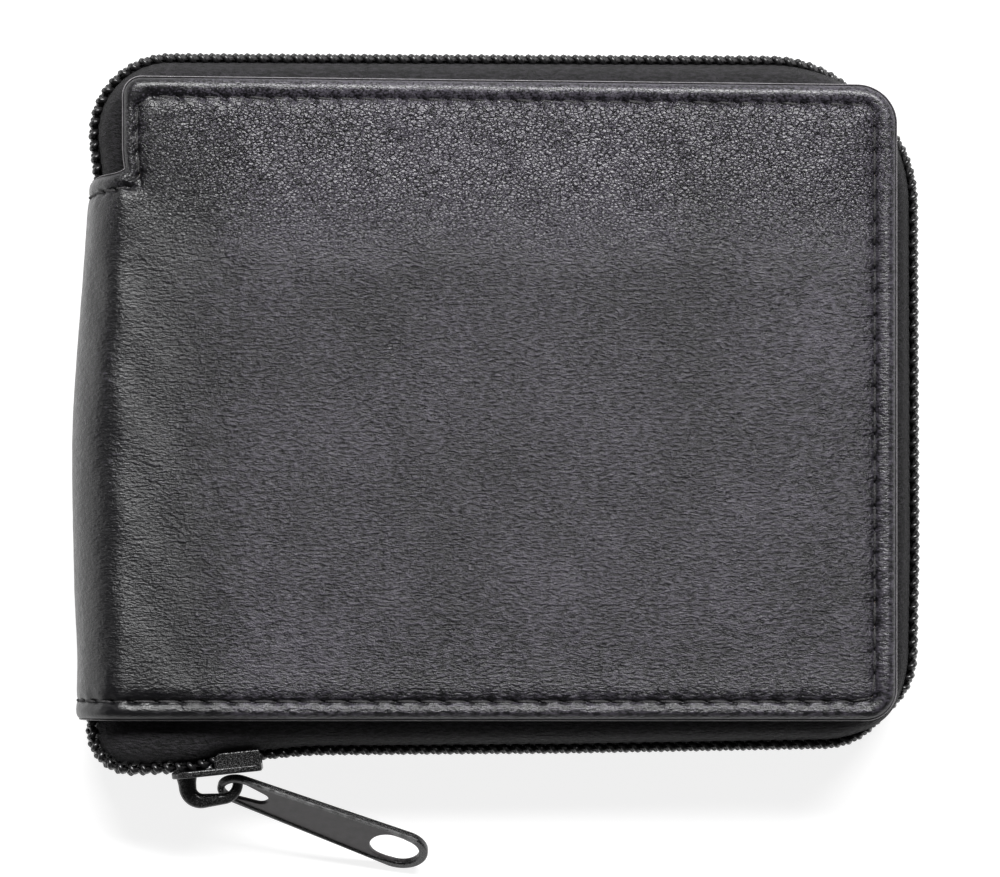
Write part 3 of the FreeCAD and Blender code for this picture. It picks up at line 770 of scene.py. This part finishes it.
def zip_tuck():
    """How far the coil draws in under its tape at each point of the zip's line, as it rounds the corners."""
    x, y = ZIP.T
    upper = np.exp(-(((x - 49) / 6.5) ** 2 + ((y - 39) / 6.5) ** 2))
    lower = np.exp(-(((x - 52) / 4.0) ** 2 + ((y + 41.5) / 4.0) ** 2))
    return upper + lower


TUCK = zip_tuck()
SPREAD = zip_spread()
COIL_PITCH = 1.55
COIL_WIRE = 0.34


def beside_zip(x, y, out_x, out_y, out, rise, front):
    """Points this far out from the zip's line, and this far from the middle towards one half."""
    return np.stack([x + out_x * out, y + out_y * out, MID_Z + (rise if front else -rise)], -1)


def coil_line(start, stop, front):
    """The centre line of a flattened coil of wire along part of the zip, for one half."""
    at = np.arange(start, stop, COIL_PITCH / 16)
    x, y, out_x, out_y, spread, tuck, _ = along_zip(at)
    turn = 2 * np.pi * at / COIL_PITCH + (0 if front else np.pi)
    out = 0.42 * np.cos(turn) - 0.75 * tuck + (0 if front else 0.22) * spread
    rise = 1.34 + spread + 1.34 * np.sign(np.sin(turn)) * np.abs(np.sin(turn)) ** 0.45
    return beside_zip(x, y, out_x, out_y, out, rise, front)


def zip_coil(name, ranges, halves):
    """The coil of wire, and the cord that runs through it."""
    pile = Pile()
    for front in halves:
        for start, stop in ranges:
            pile.add(*tube(coil_line(start, stop, front), COIL_WIRE, 8))
            at = np.arange(start, stop, 0.8)
            x, y, out_x, out_y, spread, tuck, _ = along_zip(at)
            cord = beside_zip(x, y, out_x, out_y, -0.75 * tuck, 1.4 + spread, front)
            pile.add(*tube(cord, 0.3, 6), 1)
    return pile.make(name, [NYLON, THREAD])


def tape_width():
    """Distance inwards from the zip's line to the seam under the leather, at each point of the line."""
    reach = np.full(len(ZIP), 12.0)
    for t in np.arange(12.0, 0.8, -0.1):
        spot = ZIP - ZIP_OUT * t
        u = spot[:, 0]
        d = inset(np.maximum(u, FOLD_X + 1e-3), spot[:, 1])
        d = np.where(u < FOLD_X, inset(u, spot[:, 1]), d)
        reach[d >= 2.3] = t
    return np.clip(averaged(reach, 20), 2.0, 11.0)


TAPE_WIDTH = tape_width()


def zip_tape(name, ranges, halves):
    """Woven tape: up beside the coil, over the edge, and in under the leather."""
    pile = Pile()
    t = np.linspace(0, 1, 30)[:, None]
    weights = [(1 - t) ** 3, 3 * (1 - t) ** 2 * t, 3 * (1 - t) * t * t, t ** 3]
    for front in halves:
        for start, stop in ranges:
            at = np.append(np.arange(start, stop, 0.3), stop + 0.2)
            x, y, out_x, out_y, spread, tuck, width = along_zip(at)
            proud = 1.1 * tuck
            outs = [-0.45 + 0 * at, -0.80 + proud, -1.15 + 0.9 * proud - 0.10 * width, -width]
            rises = [0.3 + 0.9 * spread, 6.0 + 0 * at, 6.1 + 0 * at, 6.72 + 0 * at]
            out = sum(w * o for w, o in zip(weights, outs))
            rise = sum(w * r for w, r in zip(weights, rises))
            out = out + 0.13 * np.exp(-((rise - 3.4 - 0.6 * spread) / 0.35) ** 2)
            rise = rise + 0.10 * ripples(at[None] + 0 * t, 3 * t + 0 * at, 9.0, 4) * np.sin(t * np.pi)
            outer = beside_zip(x, y, out_x, out_y, out, rise, front)
            out = out - 0.4 * smooth(1 - t, 0.0, 0.5)
            rise = rise - 0.4 * smooth(t, 0.2, 0.6)
            inside = beside_zip(x, y, out_x, out_y, out, rise, front)
            pile.add(outer, quads(*outer.shape[:2], flip=not front))
            pile.add(inside, quads(*inside.shape[:2], flip=front))
            for k in (0, -1):
                pile.add(np.stack([outer[k], inside[k]]), quads(2, len(at), flip=front == (k == 0)))
    return pile.make(name, [TAPE], merge=0.001)


# ---- inside

# Distances from a panel's edge of its mesh rows, and of the line of stitches that holds it.
PANEL_ROWS = np.array([0, 0.04, 0.1, 0.2, 0.35, 0.6, 0.9, 1.15, 1.4, 1.65, 1.95, 2.4, 3.0])
SEAM = 1.3


def sewn(pile, first, last, height, pitch=2.9):
    """Stitches in a straight line between two points in plan. height turns a thread's sunk depth into Z."""
    first, last = np.array(first, float), np.array(last, float)
    count = int(np.linalg.norm(last - first) / pitch)
    for k in range(count):
        t = (k + np.linspace(0.1, 0.9, 5)) / count
        plan = first + (last - first) * t[:, None]
        sunk = 0.16 - 0.14 * np.sin(np.linspace(0, np.pi, 5))
        pile.add(*tube(np.column_stack([plan, height(sunk)]), 0.17, 6), 1)


def panel(name, node, material, front, corners=(1.0, 1.0), sewn_on="", sheet=None,
          edge=0.22, wave=0.05):
    """A soft sheet inside one half, where its CAD node is: rounded edges, sewn channels and stitches.
    sewn_on lists the sides where it is stitched down to the layer under it."""
    (x0, y0, z0), (x1, y1, z1) = node_box(node)
    low, high = (THICKNESS - z1, THICKNESS - z0) if front else (z0, z1)
    top_layer = low if sheet is None else high - sheet

    def grid_lines(a, b):
        middle = np.linspace(a + 3.0, b - 3.0, max(3, int((b - a - 6) / 1.2)))
        return np.concatenate([a + PANEL_ROWS, middle[1:-1], b - PANEL_ROWS[::-1]])

    u, y = np.meshgrid(grid_lines(x0, x1), grid_lines(y0, y1))
    sides = {"left": u - x0, "right": x1 - u, "foot": y - y0, "top": y1 - y}
    centre = np.array([(x0 + x1) / 2, (y0 + y1) / 2])
    half = np.array([(x1 - x0) / 2, (y1 - y0) / 2])
    for sx, radius in zip((-1, 1), corners):
        for sy in (-1, 1):
            a = (sx * (u - centre[0]) - (half[0] - radius)) / radius
            b = (sy * (y - centre[1]) - (half[1] - radius)) / radius
            bent = (a > 0) & (b > 0)
            across = radius * a * np.sqrt(np.clip(1 - b * b / 2, 0, None))
            up = radius * b * np.sqrt(np.clip(1 - a * a / 2, 0, None))
            u = np.where(bent, centre[0] + sx * (half[0] - radius + across), u)
            y = np.where(bent, centre[1] + sy * (half[1] - radius + up), y)
    d = np.minimum.reduce(list(sides.values()))
    drop = edge * (1 - np.sqrt(np.clip(1 - np.clip(1 - d / edge, 0, 1) ** 2, 0, 1)))
    for side in sewn_on.split():
        drop = drop + 0.12 * np.exp(-((sides[side] - SEAM) / 0.35) ** 2) * (d > 1.2)
    under = np.full(u.shape, top_layer)
    for side in sewn_on.split():
        under = np.minimum(under, low + (top_layer - low) * smooth(sides[side], 1.2, 1.6))
    outer = high - drop - wave * (0.5 + 0.5 * ripples(u, y, 14.0, len(name))) * smooth(d, 1.5, 5)

    def place(depth):
        return np.stack([u, y, THICKNESS - depth if front else depth], -1)

    pile = Pile()
    rows, columns = u.shape
    pile.add(place(outer), quads(rows, columns, flip=front))
    pile.add(place(np.minimum(under, outer - 0.1)), quads(rows, columns, flip=not front))
    index = np.arange(rows * columns).reshape(rows, columns)
    rim = np.concatenate([index[0], index[1:, -1], index[-1, -2::-1], index[-2:0:-1, 0]])
    both = [place(z).reshape(-1, 3)[rim] for z in (outer, np.minimum(under, outer - 0.1))]
    pile.add(np.concatenate(both), quads(2, len(rim), closed=True, flip=not front))
    left, foot, right, top = x0 + SEAM, y0 + SEAM, x1 - SEAM, y1 - SEAM
    ends = {"left": ((left, foot), (left, top)), "right": ((right, foot), (right, top)),
            "foot": ((left, foot), (right, foot))}
    for side in sewn_on.split():
        sewn(pile, *ends[side], lambda sunk: THICKNESS - high + sunk if front else high - sunk)
    made = pile.make(name, [material, THREAD], merge=0.0005)
    stand_in(made, "front_half" if front else "back_half", node)


# Lowest and highest corner of the identity window's opening.
OPENING = (-34.0, -31.0, 34.0, 11.0)


def rounded_box(x0, y0, x1, y1, radius):
    corners = [(x0, y0, radius), (x1, y0, radius), (x1, y1, radius), (x0, y1, radius)]
    return rounded(corners, closed=True, steps=8)


def window_frame(name, node):
    """The identity window's frame: a sewn pocket front with an opening in it."""
    (x0, y0, z0), (x1, y1, z1) = node_box(node)
    outer = rounded_box(x0, y0, x1, y1, 0.8)
    inner = rounded_box(*OPENING, 2.5)
    # Section of the frame from its outer edge to the opening: share of the way, and depth under its face.
    t = np.array([0, 0, 0.01, 0.03, 0.07, 0.14, 0.18, 0.22, 0.4, 0.6, 0.8, 0.86, 0.9, 0.96, 0.99, 1, 1])
    depth = [z1 - z0, .25, .1, .02, 0, .1, .14, .02, 0, 0, .02, .12, .02, 0, .1, .25, .6]
    z = z1 - np.array(depth)
    rings = outer[None] * (1 - t)[:, None, None] + inner[None] * t[:, None, None]
    rings = np.concatenate([rings, np.repeat(z[:, None], len(outer), 1)[..., None]], -1)
    pile = Pile()
    pile.add(np.concatenate([rings, rings[:1]]), quads(len(t) + 1, len(outer), closed=True, flip=True))
    for reach, corner_set in ((1.35, (x0, y0, x1, y1)), (-1.2, OPENING)):
        a, b, c, d = (v + s * reach for v, s in zip(corner_set, (1, 1, -1, -1)))
        for first, last in (((a, b), (c, b)), ((a, b), (a, d)), ((c, b), (c, d)), ((a, d), (c, d))):
            sewn(pile, first, last, lambda sunk: z1 - 0.02 - sunk)
    made = pile.make(name, [POCKET, THREAD], merge=0.0005, outward=True)
    stand_in(made, "back_half", node)


# ---- slider and pull tab

SLIDER_ANGLE = math.radians(5.8)
# The plates' inner faces lie this far out and in from the slider's middle. Then the plates' thickness.
CHANNEL_OUT, CHANNEL_IN, PLATE = 1.35, 1.75, 0.9
BAIL_ROOT, BAIL_HEIGHT, HOOK_RADIUS = -6.7, 3.3, 2.1
# The upright axis that the tab swings about, through the middle of the hook's bend.
SWING = np.array(next(j for j in frame["joints"] if j["name"] == "pull_swing")["pos_m"]) / MM


def turned(points, axis, angle):
    return np.asarray(points) @ np.array(Matrix.Rotation(angle, 3, axis)).T


def from_slider(points):
    """From the slider's own frame, X along it and Y into the wallet, to the wallet's."""
    hook = np.array([-HOOK_RADIUS, -CHANNEL_OUT - PLATE - BAIL_HEIGHT + HOOK_RADIUS, 0])
    return turned(np.asarray(points) - hook, "Z", SLIDER_ANGLE) + SWING


def upright(points, middle):
    """Stands a flat part on edge, so that its thickness runs along Y."""
    return np.stack([points[:, 0], middle + points[:, 2], points[:, 1]], -1)


def build_slider():
    """Two plates with flanges, the wedge post between them, and the hook that rises from the outer plate."""
    pile = Pile()
    edge = [(-8.55, 5.1, 2.4), (-3.55, 5.1, 2.0), (-1.4, 4.5, 2.0), (3.45, 4.5, 0.8)]
    outline = rounded([(x, -y, r) for x, y, r in edge] + edge[::-1], closed=True)
    for middle in (-CHANNEL_OUT - PLATE / 2, CHANNEL_IN + PLATE / 2):
        points, faces = slab(outline, [], PLATE, 0.22)
        pile.add(from_slider(upright(points, middle)), faces)
    flange = [(-2.75, -2.2, 0.25), (3.4, -2.2, 0.3), (3.4, 0.62, 0.35), (-2.75, 0.62, 1.1)]
    for side in (1, -1):
        points, faces = slab(rounded(flange, closed=True), [], 0.75, 0.2)
        pile.add(from_slider(points + (0, 0, side * 4.1)), faces)
    post = rounded([(-7.9, 0, 0.3), (-6.6, -1.0, 0.5), (-3.7, 0, 0.25), (-6.6, 1.0, 0.5)], closed=True)
    points, faces = slab(post, [], CHANNEL_OUT + CHANNEL_IN + 0.6, 0.1)
    pile.add(from_slider(upright(points, (CHANNEL_IN - CHANNEL_OUT) / 2)), faces)
    surface = -CHANNEL_OUT - PLATE
    path = rounded([(BAIL_ROOT, surface + 0.4, 0), (BAIL_ROOT, surface - BAIL_HEIGHT, 1.9),
                    (0, surface - BAIL_HEIGHT, HOOK_RADIUS), (0, surface - 0.45, 0)], steps=16)
    length = lengths(path)
    even = np.linspace(0, length[-1], 90)
    x, y = (np.interp(even, length, path[:, k]) for k in (0, 1))
    wide = np.interp(even, [0, 1.2, 3.2, 5.0, 7.5, 9, 14], [1.45, 1.2, 1.1, 0.95, 0.74, 0.7, 0.68])
    cap = np.sqrt(np.clip((length[-1] - even) / 0.6, 0.02, 1))
    sides = 18
    points, faces = tube(np.column_stack([x, y, 0 * x]), wide * cap, sides)
    flatness = np.concatenate([[1], np.interp(even, [0, 6, 9], [0.62, 0.66, 0.72]), [1]])
    points[:, 2] *= np.repeat(flatness, sides)
    pile.add(from_slider(points), faces)
    stand_in(pile.make("slider_cast", [BLACK_METAL], outward=True), "slider", "slider_body")


def place_tab(points):
    """From flat on the XY plane, with its near end at the origin, to where the tab hangs on the hook."""
    points = turned(np.asarray(points) - (2.6, 0, 0), "X", math.radians(50))
    points = turned(turned(points, "Y", math.radians(16.3)), "Z", math.radians(-21))
    angle = math.radians(-20)
    return points + SWING + np.array([math.cos(angle), math.sin(angle), 0]) * HOOK_RADIUS


def build_tab():
    """A long plate with two holes, a strip on its upper edge painted lighter as a highlight, and a raised
    face.
    """
    pile = Pile()
    outline = hull([(2.7, 2.7), (26.6, 3.8)])
    near_hole, far_hole = hull([(2.7, 1.75), (6.0, 1.15)]), hull([(25.0, 2.6), (26.6, 2.6)])
    points, faces = slab(outline, [hull([(2.7, 1.75), (5.6, 2.1), (23.4, 3.05), (26.6, 2.6)])], 1.0, 0.27)
    # Slot 1 goes to the strip along the upper edge: a lighter enamel that is a painted highlight.
    slots = []
    for face in faces:
        centre = points[face].mean(0)
        slots.append(int(centre[2] > 0.3 and centre[1] > 0 and 3.5 < centre[0] < 27.5))
    pile.add(place_tab(points), faces, np.array(slots))
    face_outline = hull([(2.7, 2.2), (5.6, 2.3), (23.4, 3.25), (26.6, 3.0)])
    points, faces = slab(face_outline, [near_hole, far_hole], 0.6, 0.08)
    pile.add(place_tab(points), faces, 2)
    tab = pile.make("pull_tab_cast", [BLACK_METAL, TAB_EDGE_HIGHLIGHT, TAB_FACE], outward=True)
    stand_in(tab, "pull", "pull_tab")


# ---- build

HALVES = (("front", True), ("back", False))


def stand_in(piece, body, node):
    """The piece moves with this body and stands for this CAD node, which it hides."""
    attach(piece, body)
    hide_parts(node)


def dress(node, material):
    """Give a CAD node that stays its material."""
    mesh = frame["nodes"][node].data
    mesh.materials.clear()
    mesh.materials.append(material)


def build_covers():
    for half, front in HALVES:
        cover = leather_cover(half + "_leather", front)
        stand_in(cover, half + "_half", half + "_cover")
        sewing = stitches(half + "_cover_thread", front)
        stand_in(sewing, half + "_half", half + "_cover_stitching")


def flatten(piece):
    """Gives a piece of the spine a mesh of its own."""
    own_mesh(piece)


def build_spine():
    sheet = spine_sheet("spine_outer_leather")
    stand_in(sheet, "spine", "spine_leather")
    flatten(sheet)
    cloth = spine_cloth("spine_lining_cloth")
    stand_in(cloth, "spine", "spine_lining")
    flatten(cloth)
    for half, front in HALVES:
        sewing = stitches("spine_thread_" + half, front, spine=True)
        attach(sewing, "spine")
        flatten(sewing)


def build_zip():
    """The zip is cut where its line crosses the fold, and the spine has the two short ends."""
    beyond_fold = ZIP_AT[ZIP[:, 0] > FOLD_X + 0.1]
    first, last = beyond_fold[0], beyond_fold[-1]
    for half, front in HALVES:
        coil = zip_coil(half + "_coil", [(first + 0.15, last - 0.15)], [front])
        tape = zip_tape(half + "_tape", [(first, last)], [front])
        stand_in(coil, half + "_half", half + "_zip_coil")
        stand_in(tape, half + "_half", half + "_zip_tape")
    ends = [(0.5, first + 0.05), (last - 0.05, ZIP_AT[-1])]
    coil = zip_coil("spine_coil_ends", ends, [True, False])
    tape = zip_tape("spine_tape_ends", ends, [True, False])
    stand_in(coil, "spine", "spine_zip_coil_ends")
    stand_in(tape, "spine", "spine_zip_tape_ends")
    flatten(coil)
    flatten(tape)


def build_inside():
    for half, front in HALVES:
        dress(half + "_cover_board", grey_board())
        dress(half + "_cover_padding", foam())
        dress(half + "_zip_stop", STOP_METAL)
        panel(half + "_lining_cloth", half + "_lining", LINING, front, corners=(1.0, 14.0))
        panel(half + "_note_divider", half + "_bill_divider", POCKET, front,
              corners=(1.0, 12.0), sheet=0.6, sewn_on="right foot")
    for level in ("upper", "middle", "lower"):
        panel("card_pocket_" + level, "front_card_pocket_" + level, POCKET, True,
              sheet=0.48, sewn_on="left right foot")
    window_frame("window_pocket", "back_window_frame")
    panel("window_film_sheet", "back_window_film", clear_film(), False, edge=0.05, wave=0.08)


# ---- stage, light and camera

def build_stage():
    """A floor just under the spine's leather, which reaches a little below the CAD's lowest point."""
    place = (0, 0, -0.12 * MM)
    bpy.ops.mesh.primitive_grid_add(x_subdivisions=4, y_subdivisions=4, size=3.0, location=place)
    floor = bpy.context.object
    floor.name = "floor"
    floor.data.materials.append(floor_material())


def area_light(name, place, target, size, power):
    light = bpy.data.lights.new(name, "AREA")
    light.shape = "RECTANGLE"
    light.size, light.size_y = size
    light.energy = power
    lamp = linked(name, light)
    lamp.location = place
    lamp.rotation_euler = (Vector(target) - Vector(place)).to_track_quat("-Z", "Y").to_euler()


def build_light():
    """White surroundings as the camera sees them, which light the wallet much less than the lamps do."""
    world = bpy.data.worlds.new("studio")
    world.use_nodes = True
    nodes, links = world.node_tree.nodes, world.node_tree.links
    sky = nodes["Background"]
    sky.inputs["Color"].default_value = (1.0, 1.0, 1.0, 1.0)
    path = nodes.new("ShaderNodeLightPath")
    level = nodes.new("ShaderNodeMapRange")
    level.inputs["To Min"].default_value = 0.09
    level.inputs["To Max"].default_value = 1.0
    links.new(path.outputs["Is Camera Ray"], level.inputs["Value"])
    links.new(level.outputs["Result"], sky.inputs["Strength"])
    bpy.context.scene.world = world
    area_light("key", (0.08, 0.46, 0.62), (0, 0, 0), (0.7, 0.18), 15.0)
    area_light("left", (-0.75, 0.05, 0.07), (0, 0, 0.01), (0.6, 0.12), 0.7)


def build_camera():
    """Looks straight down on the front cover, from far off through a long lens."""
    centre_x, centre_y, distance = 1.18, -5.0, 1.462
    camera = bpy.data.cameras.new("camera")
    camera.lens = 400
    camera.sensor_width = 36
    eye = linked("camera", camera)
    eye.location = (centre_x * MM, centre_y * MM, THICKNESS * MM + distance)
    bpy.context.scene.camera = eye
    bpy.context.scene.view_settings.view_transform = "Standard"


build_covers()
build_spine()
build_zip()
build_slider()
build_tab()
build_inside()
build_stage()
build_light()
build_camera()
